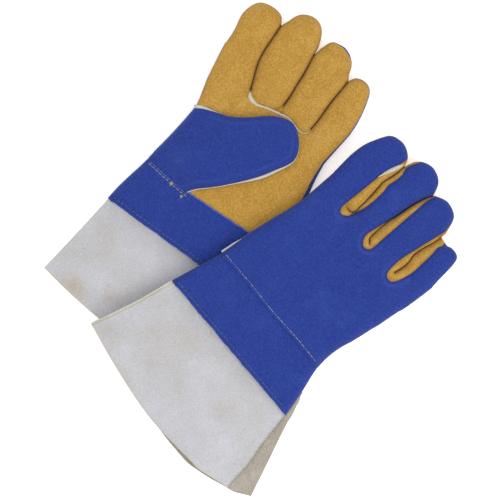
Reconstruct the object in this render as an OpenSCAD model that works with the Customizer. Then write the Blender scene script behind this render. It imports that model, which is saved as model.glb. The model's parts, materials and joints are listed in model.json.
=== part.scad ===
// A pair of gauntlet welding gloves. The left glove lies palm up and the right glove lies
// palm down across its heel and cuff. Every panel is a flat piece of leather in its own node.
//
// One glove is drawn flat in its own frame: the origin is the middle of the wrist seam, +Y runs
// along the fingers, -X is the thumb side, z = 0 is the palm surface and z = depth the back.
// The left glove is the same glove mirrored in z.

/* [Leather] */
// Thickness of the palm, back and finger leather
leather_t = 1.5; // [1.2:0.1:1.6]
// Thickness of the cotton lining
lining_t = 0.8; // [0.6:0.1:1]
// Depth of the flat glove from palm surface to back surface
depth = 16; // [14:0.5:18]

/* [Knuckles] */
// Distance from the wrist seam to the line that the fingers bend on
knuckle_y = 112; // [108:1:114]
// Space between the leather and a bending line, on each side
fold_gap = 2; // [1.5:0.1:3]
// Space between two fingers
finger_gap = 1.4; // [1.3:0.1:1.6]

/* [Thumb] */
// Depth of the thumb, which lies flat on the palm
thumb_depth = 12; // [11:0.1:12.2]
// Space between the palm and the thumb that lies on it
thumb_gap = 0.3; // [0.2:0.1:0.5]
// Angle of the thumb across the hand
thumb_turn = 24; // [22:1:26]
// How far the thumb stays open to the palm before its front starts
thumb_mouth = 34; // [30:1:38]

/* [Wristband and cuff] */
// Length of the wristband along the arm
band_len = 52; // [46:1:56]
// Thickness of the wristband leather
band_t = 1.6; // [1.5:0.1:1.8]
// Length of cuff leather that the wristband covers
lap = 8; // [5:1:12]
// Width of the welt sewn along the thumb side of the cuff
welt_w = 2; // [1.5:0.1:3]

/* [Stitches] */
// Distance from one stitch to the next
stitch_pitch = 4.4; // [4:0.2:6]
// Length of one stitch
stitch_len = 3; // [2:0.1:3.5]
// Thickness of the thread
thread_t = 0.5; // [0.4:0.1:0.6]

/* [Pair] */
// Turn of the left glove against the right glove
left_turn = 14; // [13:0.5:15]
// Place of the left wrist seam from the right one, towards the thumb side
left_x = -115; // [-117:1:-113]
// Place of the left wrist seam from the right one, along the fingers
left_y = 21; // [19:1:23]
// Height of the right wrist seam above the table
rest_z = 18; // [18:0.1:19]
// Slope of the right glove towards its fingertips
slope_y = 1.7; // [1.6:0.05:1.75]
// Slope of the right glove towards its little finger
slope_x = 4; // [4:0.1:4.2]

/* [Hidden] */

blue = "#2b3f98";
gold = "#c8a045";
grey = "#c9c9cf";
cream = "#cfcbb0";
cotton = "#e6e0d0";

LEFT = 0;
RIGHT = 1;
INDEX = 0;
MIDDLE = 1;
RING = 2;
LITTLE = 3;
steps = 3;              // straight pieces between two outline points
far = 400;              // a length beyond every outline
cuff_z = band_t;        // the cuff leather lies just inside the band leather
lining_gap = 0.3;       // space between leather and lining
thumb_root = [-30, 38]; // the point that the thumb's bending line passes through
hole_u = 8;             // thumb hole in the palm: distance from the bending line
hole_w = 24;            // its width across the bending line
hole_l = 44;            // its length along the bending line

// Finger outlines, from the root on the thumb side round the tip to the other root.
// Neighbours share a crease line.
fingers = [
    [   // left glove
        [[-70, 100], [-75, 122], [-76, 146], [-79, 166], [-73, 182],
            [-60, 187], [-48, 185], [-41, 176], [-40, 154], [-36, 134], [-36, 100]],
        [[-36, 100], [-36, 134], [-40, 154], [-41, 176], [-35, 195],
            [-21, 202], [-8, 196], [0, 176], [3, 152], [3, 130], [3, 100]],
        [[3, 100], [3, 130], [3, 152], [0, 176], [5, 190],
            [18, 196], [32, 189], [38, 174], [38, 152], [38, 130], [38, 100]],
        [[38, 100], [38, 130], [38, 152], [39, 170], [45, 179],
            [54, 181], [62, 177], [67, 165], [71, 144], [71, 122], [68, 100]]
    ],
    [   // right glove
        [[-60, 100], [-63, 128], [-66, 154], [-64, 174], [-54, 193],
            [-41, 199], [-29, 196], [-22, 186], [-24, 160], [-24, 130], [-25, 100]],
        [[-25, 100], [-24, 130], [-24, 160], [-22, 186], [-16, 200],
            [-3, 206], [11, 201], [17, 186], [14, 160], [12, 130], [12, 100]],
        [[12, 100], [12, 130], [14, 160], [17, 186], [23, 193],
            [33, 196], [46, 191], [55, 175], [57, 150], [54, 130], [53, 100]],
        [[53, 100], [54, 130], [57, 150], [59, 165], [64, 170],
            [71, 171], [77, 169], [80, 161], [82, 144], [85, 122], [84, 100]]
    ]
];

// How far the finger's back stops short of its outline, on the thumb side and the other side.
back_inset = [[0, 6], [7, 6], [6, 8], [6, 0]];

// The two sides of hand and wristband, from the wristband's lower edge to the knuckles.
thumb_sides = [
    [[-79, -56], [-75, -26], [-71, 0], [-66, 32], [-63, 66], [-66, 88], [-74, 116]],
    [[-82, -56], [-76, -26], [-71, 0], [-68, 32], [-63, 66], [-60, 92], [-61, 116]]
];
little_sides = [
    [[86, -56], [78, -26], [70, 0], [69, 24], [72, 48], [69, 74], [68, 98], [71, 116]],
    [[86, -56], [78, -26], [70, 0], [69, 24], [75, 48], [81, 70], [83, 94], [85, 116]]
];

// Cuff edges: the thumb side, the end, and the open little-finger side of back and palm piece.
cuff_thumb = [
    [[-78, -52], [-83, -95], [-89, -141]],
    [[-81, -52], [-88, -92], [-99, -136]]
];
cuff_end = [
    [[-89, -141], [-55, -146], [-20, -149], [20, -151], [61, -148]],
    [[-99, -136], [-50, -145], [5, -151], [61, -148]]
];
cuff_vent_back = [[61, -148], [102, -138], [94, -92], [85, -52]];
cuff_vent_palm = [[61, -148], [100, -138], [124, -126], [102, -82], [85, -52]];

// Thumb outline, from its upper root round the tip to its lower root.
thumb = [[-54, 72], [-34, 77], [-20, 85], [-9, 94], [1, 102], [12, 107], [22, 108], [32, 102],
    [40, 92], [43, 82], [41, 74], [35, 64], [25, 48], [11, 31], [-3, 16], [-24, -3]];

// Rows of stitches: from x, to x, y.
stitch_rows = [
    [[-67, -19, -3], [-67, -19, -6], [-75, 80, -48]],
    [[-66, 66, 3], [-66, 66, 6.5], [-76, 80, -48]]
];

// A smooth curve through points, and its ends
function bend(a, b, c, d, t) =
    b + (c - a) * t / 2 + (2 * a - 5 * b + 4 * c - d) * t * t / 2
    + (3 * b - a - 3 * c + d) * t * t * t / 2;
function curve(p) = concat(
    [for (i = [0:len(p) - 2], k = [0:steps - 1])
        bend(p[max(i - 1, 0)], p[i], p[i + 1], p[min(i + 2, len(p) - 1)], k / steps)],
    [p[len(p) - 1]]);
function backwards(p) = [for (i = [len(p) - 1:-1:0]) p[i]];
function part_of(p, from, to) = [for (i = [from:to]) p[i]];

// The curve moved to the right of its own direction, by a on the way out and b on the way back
function right_of(v) = [v[1], -v[0]] / norm(v);
function side_amount(t, a, b) = (t < 0.5 ? a : b) * min(1, abs(t - 0.5) / 0.2);
function moved(p, a, b) = [for (i = [0:len(p) - 1])
    p[i] + side_amount(i / (len(p) - 1), a, b)
        * right_of(p[min(i + 1, len(p) - 1)] - p[max(i - 1, 0)])];
function inside(p, d) = [for (i = [0:len(p) - 1])
    p[i] + d * right_of(p[min(i + 1, len(p) - 1)] - p[max(i - 1, 0)])];

// The space a finger may use: its outline, half a gap in from each neighbour
function finger_curve(g, f) = inside(curve(fingers[g][f]), finger_gap / 2);
function hand_curve(g, d) = concat(
    inside(curve(thumb_sides[g]), d), backwards(inside(curve(little_sides[g]), -d)));
function tip_from(p) = round(0.36 * (len(p) - 1));
function tip_to(p) = len(p) - 1 - tip_from(p);
function cuff_outline(g, vent) = concat(
    curve(cuff_thumb[g]), curve(cuff_end[g]), curve(vent));

// Where the pair stands: the middle of its bounding box is the origin
function spin(p, a) = [p[0] * cos(a) - p[1] * sin(a), p[0] * sin(a) + p[1] * cos(a)];
function left_spot(p) = spin(p, left_turn) + [left_x, left_y];
function right_spot(p, z) =
    let (s = p[1] * sin(-slope_y) + z * cos(slope_y))
    [p[0] * cos(slope_x) + s * sin(slope_x), p[1] * cos(slope_y) + z * sin(slope_y)];
function glove_edge(g) = concat(
    cuff_outline(g, cuff_vent_back), cuff_outline(g, cuff_vent_palm),
    [for (f = [INDEX:LITTLE]) each finger_curve(g, f)]);
pair_edge = concat(
    [for (p = glove_edge(LEFT)) left_spot(p)],
    [for (p = glove_edge(RIGHT), z = [0, depth]) right_spot(p, z)]);
centre_x = (min([for (p = pair_edge) p[0]]) + max([for (p = pair_edge) p[0]])) / 2;
centre_y = (min([for (p = pair_edge) p[1]]) + max([for (p = pair_edge) p[1]])) / 2;

// Puts a glove in its place in the pair
module place(g) {
    translate([-centre_x, -centre_y, 0])
        if (g == LEFT)
            translate([left_x, left_y, depth]) rotate(left_turn) mirror([0, 0, 1]) children();
        else
            translate([0, 0, rest_z]) rotate([-slope_y, slope_x, 0]) children();
}

// A flat piece between two heights
module sheet(from, to) {
    translate([0, 0, from]) linear_extrude(to - from) children();
}

module between_y(from, to) {
    intersection() {
        children();
        translate([-far / 2, from]) square([far, to - from]);
    }
}

// Keeps what is further than u from the thumb's bending line
module beyond_thumb_fold(u) {
    intersection() {
        children();
        translate(thumb_root) rotate(thumb_turn) translate([u, -far / 2]) square(far);
    }
}

module thumb_hole() {
    translate(thumb_root) rotate(thumb_turn) translate([hole_u, -hole_l / 2])
        square([hole_w, hole_l]);
}

module hand_area(g, d, from, to) {
    between_y(from, to) polygon(hand_curve(g, d));
}

// The strip along both sides of the hand or wristband
module hand_sides(g, w, from, to) {
    difference() {
        hand_area(g, 0, from, to);
        hand_area(g, w, from - 1, to + 1);
    }
}

// Blue back of the hand, which wraps round both sides and onto the palm at the thumb
module back_panel(g) {
    top = knuckle_y - fold_gap;
    color(blue) place(g) {
        sheet(depth - leather_t, depth) hand_area(g, 0, 0, top);
        sheet(0, depth - leather_t) hand_sides(g, leather_t, 0, top);
        sheet(-leather_t, 0) thumb_wing(g);
    }
}

// The flap of the back panel between the hand's edge and the thumb's bending line
module thumb_wing(g) {
    difference() {
        hand_area(g, 0, 4, 72);
        beyond_thumb_fold(-fold_gap) square(2 * far, center = true);
    }
}

// Gold palm, with the hole that the thumb grows from
module palm_panel(g) {
    color(gold) place(g) sheet(0, leather_t) difference() {
        hand_area(g, leather_t, 0, knuckle_y - fold_gap);
        thumb_hole();
    }
}

// Cotton sleeve inside hand and wristband
module hand_lining(g) {
    outer = leather_t + lining_gap;
    inner = outer + lining_t;
    color(cotton) place(g) difference() {
        sheet(outer, depth - outer) hand_area(g, outer, lap - band_len, knuckle_y - fold_gap - 1);
        sheet(inner, depth - inner) hand_area(g, inner, -band_len - 2, knuckle_y + fold_gap);
        sheet(0, depth / 2) thumb_hole();
    }
}

// Back half of the wristband, with both its sides
module wrist_band_back(g) {
    color(blue) place(g) {
        sheet(depth - band_t, depth) hand_area(g, 0, -band_len, 0);
        sheet(band_t, depth - band_t) hand_sides(g, leather_t, -band_len, 0);
    }
}

module wrist_band_palm(g) {
    color(blue) place(g) sheet(0, band_t) hand_area(g, 0, -band_len, 0);
}

// Thread rows at the wrist seam and at the wristband's lower edge, on the side that lies up
module stitching(g) {
    z = g == LEFT ? -thread_t : depth;
    color(cream) place(g) sheet(z, z + thread_t)
        for (row = stitch_rows[g], x = [row[0]:stitch_pitch:row[1] - stitch_len])
            translate([x, row[2]]) square([stitch_len, 2 * thread_t]);
}

module cuff_piece(g, vent) {
    between_y(-far, -band_len) polygon(cuff_outline(g, vent));
    hand_area(g, leather_t + lining_gap, -band_len, lap - band_len - 1);
}

module cuff_back(g) {
    color(grey) place(g) sheet(depth - cuff_z - leather_t, depth - cuff_z)
        cuff_piece(g, cuff_vent_back);
}

module cuff_palm(g) {
    color(grey) place(g) sheet(cuff_z, cuff_z + leather_t) cuff_piece(g, cuff_vent_palm);
}

// Welt that joins the two cuff pieces along the thumb side
module cuff_welt(g) {
    edge = curve(cuff_thumb[g]);
    color(cream) place(g) sheet(cuff_z + leather_t, depth - cuff_z - leather_t)
        between_y(-far, -band_len) polygon(concat(edge, backwards(inside(edge, -welt_w))));
}

// Clips a finger piece at its root
module finger_part(from = knuckle_y + fold_gap) {
    between_y(from, far) children();
}

// The wall along a finger's outline between two of its curve points
module finger_wall(p, from, to) {
    inner = inside(p, leather_t);
    finger_part() polygon(concat(part_of(p, from, to), backwards(part_of(inner, from, to))));
}

// Blue back of a finger, which wraps over the tip and round the outer side of the hand
module finger_back(g, f) {
    p = finger_curve(g, f);
    color(blue) place(g) {
        sheet(depth - leather_t, depth)
            finger_part() polygon(moved(p, back_inset[f][0], back_inset[f][1]));
        sheet(leather_t, depth - leather_t)
            finger_wall(p, f == INDEX ? 0 : tip_from(p), f == LITTLE ? len(p) - 1 : tip_to(p));
    }
}

module finger_front(g, f) {
    color(gold) place(g) sheet(0, leather_t) finger_part() polygon(finger_curve(g, f));
}

// Gold strips between two fingers, which turn over onto the back of the finger
module finger_fourchettes(g, f) {
    p = finger_curve(g, f);
    color(gold) place(g) {
        sheet(depth - leather_t, depth) finger_part() difference() {
            polygon(p);
            polygon(moved(p, back_inset[f][0], back_inset[f][1]));
        }
        sheet(leather_t, depth - leather_t) {
            if (f != INDEX) finger_wall(p, 0, tip_from(p));
            if (f != LITTLE) finger_wall(p, tip_to(p), len(p) - 1);
        }
    }
}

// Cotton pocket inside a finger, open towards the hand
module finger_lining(g, f) {
    p = finger_curve(g, f);
    outer = leather_t + lining_gap;
    inner = outer + lining_t;
    color(cotton) place(g) difference() {
        sheet(outer, depth - outer) finger_part() polygon(inside(p, outer));
        sheet(inner, depth - inner) finger_part(knuckle_y) polygon(inside(p, inner));
    }
}

// The thumb's flat outline, d inside its seam and further than u from its bending line
module thumb_area(d, u = fold_gap) {
    beyond_thumb_fold(u) polygon(inside(curve(thumb), d));
}

module thumb_back(g) {
    z = -thumb_gap - thumb_depth;
    color(blue) place(g) sheet(z, z + leather_t) thumb_area(0);
}

module thumb_front(g) {
    color(gold) place(g) sheet(-thumb_gap - leather_t, -thumb_gap) thumb_area(0, thumb_mouth);
}

// Pale welt strip round the thumb, between its back and its front
module thumb_welt(g) {
    z = -thumb_gap - thumb_depth + leather_t;
    color(cream) place(g) sheet(z, -thumb_gap - leather_t) difference() {
        thumb_area(0);
        thumb_area(leather_t, 0);
    }
}

module thumb_lining(g) {
    outer = leather_t + lining_gap;
    inner = outer + lining_t;
    low = -thumb_gap - thumb_depth;
    color(cotton) place(g) difference() {
        sheet(low + outer, -thumb_gap - outer) thumb_area(outer, thumb_mouth + 1);
        sheet(low + inner, -thumb_gap - inner) thumb_area(inner, thumb_mouth - 1);
    }
}

back_panel(LEFT);  // left_back_panel
palm_panel(LEFT);  // left_palm_panel
hand_lining(LEFT);  // left_hand_lining
wrist_band_back(LEFT);  // left_wrist_band_back
wrist_band_palm(LEFT);  // left_wrist_band_palm
stitching(LEFT);  // left_stitching
cuff_back(LEFT);  // left_cuff_back
cuff_palm(LEFT);  // left_cuff_palm
cuff_welt(LEFT);  // left_cuff_welt
finger_back(LEFT, INDEX);  // left_index_back
finger_front(LEFT, INDEX);  // left_index_front
finger_fourchettes(LEFT, INDEX);  // left_index_fourchette
finger_lining(LEFT, INDEX);  // left_index_lining
finger_back(LEFT, MIDDLE);  // left_middle_back
finger_front(LEFT, MIDDLE);  // left_middle_front
finger_fourchettes(LEFT, MIDDLE);  // left_middle_fourchettes
finger_lining(LEFT, MIDDLE);  // left_middle_lining
finger_back(LEFT, RING);  // left_ring_back
finger_front(LEFT, RING);  // left_ring_front
finger_fourchettes(LEFT, RING);  // left_ring_fourchettes
finger_lining(LEFT, RING);  // left_ring_lining
finger_back(LEFT, LITTLE);  // left_little_back
finger_front(LEFT, LITTLE);  // left_little_front
finger_fourchettes(LEFT, LITTLE);  // left_little_fourchette
finger_lining(LEFT, LITTLE);  // left_little_lining
thumb_back(LEFT);  // left_thumb_back
thumb_front(LEFT);  // left_thumb_front
thumb_welt(LEFT);  // left_thumb_welt
thumb_lining(LEFT);  // left_thumb_lining
back_panel(RIGHT);  // right_back_panel
palm_panel(RIGHT);  // right_palm_panel
hand_lining(RIGHT);  // right_hand_lining
wrist_band_back(RIGHT);  // right_wrist_band_back
wrist_band_palm(RIGHT);  // right_wrist_band_palm
stitching(RIGHT);  // right_stitching
cuff_back(RIGHT);  // right_cuff_back
cuff_palm(RIGHT);  // right_cuff_palm
cuff_welt(RIGHT);  // right_cuff_welt
finger_back(RIGHT, INDEX);  // right_index_back
finger_front(RIGHT, INDEX);  // right_index_front
finger_fourchettes(RIGHT, INDEX);  // right_index_fourchette
finger_lining(RIGHT, INDEX);  // right_index_lining
finger_back(RIGHT, MIDDLE);  // right_middle_back
finger_front(RIGHT, MIDDLE);  // right_middle_front
finger_fourchettes(RIGHT, MIDDLE);  // right_middle_fourchettes
finger_lining(RIGHT, MIDDLE);  // right_middle_lining
finger_back(RIGHT, RING);  // right_ring_back
finger_front(RIGHT, RING);  // right_ring_front
finger_fourchettes(RIGHT, RING);  // right_ring_fourchettes
finger_lining(RIGHT, RING);  // right_ring_lining
finger_back(RIGHT, LITTLE);  // right_little_back
finger_front(RIGHT, LITTLE);  // right_little_front
finger_fourchettes(RIGHT, LITTLE);  // right_little_fourchette
finger_lining(RIGHT, LITTLE);  // right_little_lining
thumb_back(RIGHT);  // right_thumb_back
thumb_front(RIGHT);  // right_thumb_front
thumb_welt(RIGHT);  // right_thumb_welt
thumb_lining(RIGHT);  // right_thumb_lining
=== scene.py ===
"""The looks of a pair of gauntlet welding gloves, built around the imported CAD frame.

Each glove is drawn flat in its own frame, in millimetres: x towards the little finger, y along the
fingers from the wrist seam, and z up. A sheet of leather is a 2D triangulation of an outline. It is
lifted to its height, cut into pieces at seams and knuckles, and given a thickness. The right glove
lies on the left one, so every point of it is also lowered by how far the leather sinks there.
"""
import json
import math
import random

import bmesh
import bpy
import numpy as np
from mathutils import Matrix, Vector, noise
from mathutils.bvhtree import BVHTree
from mathutils.geometry import delaunay_2d_cdt


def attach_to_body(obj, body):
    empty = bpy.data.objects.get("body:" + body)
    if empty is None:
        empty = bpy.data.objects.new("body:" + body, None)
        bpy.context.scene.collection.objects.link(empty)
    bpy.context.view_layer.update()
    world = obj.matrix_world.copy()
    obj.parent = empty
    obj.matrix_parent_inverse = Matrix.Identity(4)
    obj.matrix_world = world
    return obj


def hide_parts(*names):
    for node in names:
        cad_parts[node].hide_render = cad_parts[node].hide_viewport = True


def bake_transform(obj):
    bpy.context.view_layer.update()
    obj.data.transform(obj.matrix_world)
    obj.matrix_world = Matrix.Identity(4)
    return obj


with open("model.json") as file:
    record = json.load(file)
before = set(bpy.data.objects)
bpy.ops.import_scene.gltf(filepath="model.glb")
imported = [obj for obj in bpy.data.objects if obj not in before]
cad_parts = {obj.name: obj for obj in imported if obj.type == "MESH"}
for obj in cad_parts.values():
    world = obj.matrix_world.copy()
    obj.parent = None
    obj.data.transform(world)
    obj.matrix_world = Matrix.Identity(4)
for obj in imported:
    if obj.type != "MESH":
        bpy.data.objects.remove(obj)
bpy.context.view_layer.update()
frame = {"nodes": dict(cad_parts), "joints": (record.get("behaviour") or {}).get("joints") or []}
joints = {joint["name"]: joint for joint in frame["joints"]}

MM = 0.001
FINGERS = ("index", "middle", "ring", "little")
KNUCKLE_Y = 112.0        # the line that the fingers bend on
DEPTH = 16.0             # thickness of the flat glove
BAND_LOW = -52.0         # lower edge of the wristband
BAND_ROW = -48.0         # the row of stitches along it
WRIST = {-1: -71, 1: 70}               # x of the wrist's two sides
BAND_OVER = {"left": 0.0, "right": 4.0}          # how far the band reaches past the wrist line
INDEX_HINGE_X = {"left": -50.0, "right": -43.0}
BEND_LENGTH = 32.0       # end point that attach() works out this far beyond the knuckle line; no bend is made
LEATHER = 1.4            # thickness of the leather
CUFF_LEATHER = 1.5
LINING_INSET = 1.9       # lining below the outside of the leather
LINING_T = 0.8


# ---------------------------------------------------------------- geometry helpers

def smoothstep(low, high, value):
    t = np.clip((value - low) / (high - low), 0, 1)
    return t * t * (3 - 2 * t)


def mixed(a, b, share):
    return a + (b - a) * share


def rounded(distance, radius, power=2.2):
    """0 at an edge, rising steeply to 1 at radius and beyond."""
    t = 1 - np.clip(distance / radius, 0, 1)
    return (1 - t ** power) ** (1 / power)


def resampled(points, spacing):
    """Evenly spaced points along a smooth curve through the given ones."""
    p = np.asarray(points, float)
    ext = np.vstack([2 * p[0] - p[1], p, 2 * p[-1] - p[-2]])
    out = []
    for i in range(1, len(ext) - 2):
        a, b, c, d = ext[i - 1:i + 3]
        for t in np.linspace(0, 1, 12, endpoint=False):
            out.append(b + (c - a) * t / 2 + (2 * a - 5 * b + 4 * c - d) * t * t / 2
                       + (3 * b - a - 3 * c + d) * t ** 3 / 2)
    out.append(p[-1])
    out = np.array(out)
    run = np.concatenate([[0], np.cumsum(np.linalg.norm(np.diff(out, axis=0), axis=1))])
    count = max(2, int(round(run[-1] / spacing)) + 1)
    at = np.linspace(0, run[-1], count)
    return np.stack([np.interp(at, run, out[:, axis]) for axis in range(out.shape[1])], 1)


def length_along(path):
    return np.concatenate([[0], np.cumsum(np.linalg.norm(np.diff(path, axis=0), axis=1))])


def tapered(path, widths):
    """Widths along a path from (share of its length, width) pairs."""
    run = length_along(path)
    shares, values = zip(*widths)
    return np.interp(run / run[-1], shares, values)


def distance_to(points, path):
    """Distance from each point to a polyline."""
    a, b = path[:-1], path[1:]
    d = b - a
    length2 = np.maximum((d ** 2).sum(1), 1e-9)
    best = np.full(len(points), 1e9)
    for start in range(0, len(points), 4000):
        p = points[start:start + 4000, None, :]
        t = np.clip(((p - a) * d).sum(2) / length2, 0, 1)
        gap = p - a - t[..., None] * d
        best[start:start + 4000] = np.sqrt((gap ** 2).sum(2).min(1))
    return best


def inside(points, polygon):
    x, y = points[:, 0], points[:, 1]
    result = np.zeros(len(points), bool)
    for (x0, y0), (x1, y1) in zip(polygon, np.roll(polygon, -1, axis=0)):
        if y0 != y1:
            crosses = (y0 > y) != (y1 > y)
            result ^= crosses & (x < (x1 - x0) * (y - y0) / (y1 - y0) + x0)
    return result


def outside_distance(points, polygon):
    closed = np.vstack([polygon, polygon[:1]])
    return np.where(inside(points, polygon), 0, distance_to(points, closed))


def from_ends(values):
    """Distance of evenly spaced values from the nearer end of their run."""
    return np.minimum(np.abs(values - values[0]), np.abs(values - values[-1]))


def unit(vectors):
    return vectors / np.maximum(np.linalg.norm(vectors, axis=1, keepdims=True), 1e-12)


def offset(path, distance):
    """The path moved to the right of its own direction."""
    tangent = unit(np.gradient(path, axis=0))
    return path + np.reshape(distance, (-1, 1)) * np.stack([tangent[:, 1], -tangent[:, 0]], 1)


def beyond_crease(side, line):
    """The points of a finger's side past the top of the crease it shares."""
    top = line[-1]
    return side[(np.linalg.norm(side - top, axis=1) > 5) & (side[:, 1] > top[1] - 1)]


def signed_area(loop):
    x, y = loop[:, 0], loop[:, 1]
    return 0.5 * float((x * np.roll(y, -1) - np.roll(x, -1) * y).sum())


def open_edges(triangles):
    """The directed edges that have no triangle on their other side."""
    edges = triangles[:, [0, 1, 1, 2, 2, 0]].reshape(-1, 2)
    edges = edges[edges[:, 0] != edges[:, 1]]
    count = triangles.max() + 1
    return edges[~np.isin(edges @ (count, 1), edges @ (1, count))]


def wobble(points, scale, seed):
    """Smooth noise from about -1 to 1 at 2D points, scale in mm."""
    return np.array([noise.fractal((x / scale, y / scale, seed), 0.8, 2.0, 2) for x, y in points])


# ---------------------------------------------------------------- the two gloves' frames

class Glove:
    """One glove's own frame, and its outlines read from the CAD frame."""

    def __init__(self, side):
        self.side = side
        self.left = side == "left"
        self.palm_up = 1 if self.left else -1
        self.supports = []
        index, thumb = joints[f"{side}_index_curl"], joints[f"{side}_thumb_open"]
        x = self.palm_up * np.array(index["axis"])
        along_thumb = -self.palm_up * np.array(thumb["axis"])
        y = along_thumb - (along_thumb @ x) * x
        y /= np.linalg.norm(y)
        self.axes = np.stack([x, y, np.cross(x, y)])
        at_hinge = np.array([INDEX_HINGE_X[side], KNUCKLE_Y, DEPTH if self.left else 0.0])
        self.origin = np.array(index["pos_m"]) / MM - at_hinge @ self.axes
        self.thumb_hinge = self.to_own(np.array([thumb["pos_m"]]) / MM)[0, :2]
        fold = (self.axes @ along_thumb)[:2]
        self.thumb_out = np.array([fold[1], -fold[0]]) / np.linalg.norm(fold)
        self.creases = [resampled(line, 2.0) for line in CREASES[side]]
        self.edge = self.silhouette(BAND_LOW)
        self.seed = 3.1 if self.left else 8.4

    def to_row(self, points):
        return self.origin + np.asarray(points, float) @ self.axes

    def to_own(self, points):
        return (np.asarray(points, float) - self.origin) @ self.axes.T

    def place(self, xy, z):
        """Row points for heights above the flat glove, with the leather sunk onto its supports."""
        points = self.to_row(np.column_stack([xy, np.broadcast_to(z, len(xy))]))
        points[:, 2] -= self.sink(xy)
        return points

    def sink(self, xy):
        """How far the leather drops from the flat glove, where nothing holds it up."""
        if not self.supports:
            return np.zeros(len(xy))
        flat = self.to_row(np.column_stack([xy, np.zeros(len(xy))]))[:, 2]
        total = np.zeros(len(xy))
        for polygon, height in self.supports:
            gap = outside_distance(xy, polygon)
            reach = height - FALL * (np.sqrt(gap ** 2 + EDGE_BEND ** 2) - EDGE_BEND)
            total += np.exp(BLENDING * reach)
        held = np.log(total + 1) / BLENDING
        return MOST_SINK * np.tanh(np.clip(flat - held, 0, None) / MOST_SINK)

    def outline(self, node, highest=True):
        """The outer edge of a CAD plate, clockwise seen from above."""
        mesh = frame["nodes"][f"{self.side}_{node}"].data
        co = self.to_own(np.array([v.co for v in mesh.vertices]) / MM)
        mesh.calc_loop_triangles()
        tris = np.array([t.vertices[:] for t in mesh.loop_triangles])
        level = co[:, 2].max() if highest else co[:, 2].min()
        flat = tris[(np.abs(co[tris][:, :, 2] - level) < 0.05).all(1)]
        spots, weld = np.unique(np.round(co[:, :2], 2), axis=0, return_inverse=True)
        weld = weld.reshape(-1)
        following = dict(open_edges(weld[flat]).tolist())
        loops = []
        while following:
            here = next(iter(following))
            loop = []
            while here in following:
                loop.append(here)
                here = following.pop(here)
            loops.append(spots[loop])
        best = max(loops, key=lambda loop: abs(signed_area(loop)))
        return best if signed_area(best) < 0 else best[::-1]

    def finger(self, name, kind="front"):
        """A finger's edge from its root on the thumb side round the tip to its other root."""
        highest = self.left if kind == "front" else not self.left
        loop = self.outline(f"{name}_{kind}", highest)
        root = loop[:, 1] < KNUCKLE_Y + 2.05
        start = int(np.argmin(np.where(root, loop[:, 0], 1e9)))
        return np.roll(loop, -start, axis=0)

    def finger_edges(self):
        """The fingers' edges as they lie, each sharing a crease with its neighbours."""
        edges = []
        for number, name in enumerate(FINGERS):
            edge = self.finger(name)
            edge = offset(resampled(edge[edge[:, 1] > KNUCKLE_Y + CREASED], 4.0), -0.45)
            tip = int(np.argmax(edge[:, 1]))
            rising, falling = edge[:tip + 1], edge[tip + 1:]
            if number > 0:
                line = self.creases[number - 1]
                rising = np.vstack([offset(line, CREASE_GAP)[2:], beyond_crease(rising, line)])
            if number < 3:
                line = self.creases[number]
                falling = np.vstack([beyond_crease(falling, line), offset(line, -CREASE_GAP)[:1:-1]])
            edges.append(np.vstack([rising, falling]))
        return edges

    def hand_side(self, sign, low):
        """The hand's or wristband's edge from low up to the knuckles, sign -1 for the thumb side."""
        loops = [self.outline(node, not self.left) for node in ("back_panel", "wrist_band_back")]
        points = np.vstack(loops)
        points = points[(points[:, 0] * sign > 0) & (points[:, 1] >= low - 0.01)]
        points = points[np.argsort(points[:, 1])]
        keep = np.concatenate([[True], np.diff(points[:, 1]) > 1.0])
        return points[keep]

    def silhouette(self, low):
        """The edge of hand and fingers, clockwise from low on the thumb side to low on the other."""
        hand = self.hand_side(-1, low)
        points = [hand[hand[:, 1] < KNUCKLE_Y - 8]]
        for number, edge in enumerate(self.finger_edges()):
            points.append(edge)
            if number < 3:
                points.append(self.creases[number][:1])
        other = self.hand_side(1, low)[::-1]
        points.append(other[other[:, 1] < KNUCKLE_Y - 8])
        points = np.vstack(points)
        for low_x, high_x, moves in SIDE_SHIFTS[self.side]:
            ys, shifts = zip(*moves)
            here = (points[:, 0] > low_x) & (points[:, 0] < high_x)
            points[:, 0] += np.where(here, np.interp(points[:, 1], ys, shifts), 0)
        return resampled(points, 1.6)

    def side_path(self, sign, low, high):
        """Part of the silhouette beside hand and band, in its clockwise order."""
        part = self.edge[(self.edge[:, 0] * sign > 0) & (self.edge[:, 1] < KNUCKLE_Y - 10)]
        return part[(part[:, 1] >= low) & (part[:, 1] <= high)]


# ---------------------------------------------------------------- shapes of the leather sheets

EQUATOR = 6.5            # height of the side seams above the glove's lower surface
RINGS = (0.35, 1.2, 2.6, 4.6, 7.2)     # distances from a seam that get a row of points
SPACING = 2.3            # distance between the points of a sheet
FALL = 0.3               # slope of leather that hangs off an edge
EDGE_BEND = 12.0         # distance over which it starts to fall
BLENDING = 0.5           # sharpness of the change between two supports
MOST_SINK = 7.0          # the stiff leather sinks no further than this
CREASE_GAP = 0.05        # half the gap between two fingers that touch
CREASED = 16.0           # up to here past the knuckles only the creases give the fingers' edges
CREASES = {              # the lines along which neighbouring fingers touch, from the crotch up
    "left": (((-30, 111), (-33, 119), (-37, 129), (-39.6, 137), (-41.2, 148), (-41.8, 160),
              (-42.3, 177)),
             ((4, 118), (4, 128), (2.8, 140), (2, 153), (0.1, 166), (-0.7, 174)),
             ((38, 114.5), (38.8, 123), (38.7, 140), (39, 151), (40.3, 172))),
    "right": (((-25, 118), (-19.6, 120.6), (-19.8, 129), (-21, 142), (-22.6, 154), (-23.6, 161),
               (-21.8, 174), (-21.5, 185.5)),
              ((12.7, 113), (9, 116), (8.1, 123), (8.1, 140), (8.8, 148), (10.6, 167), (13.9, 182),
               (17, 189)),
              ((48.7, 113.8), (50.3, 124), (49.7, 132), (48.1, 138), (49.2, 150), (51.2, 160),
               (52.4, 169.5))),
}
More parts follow.
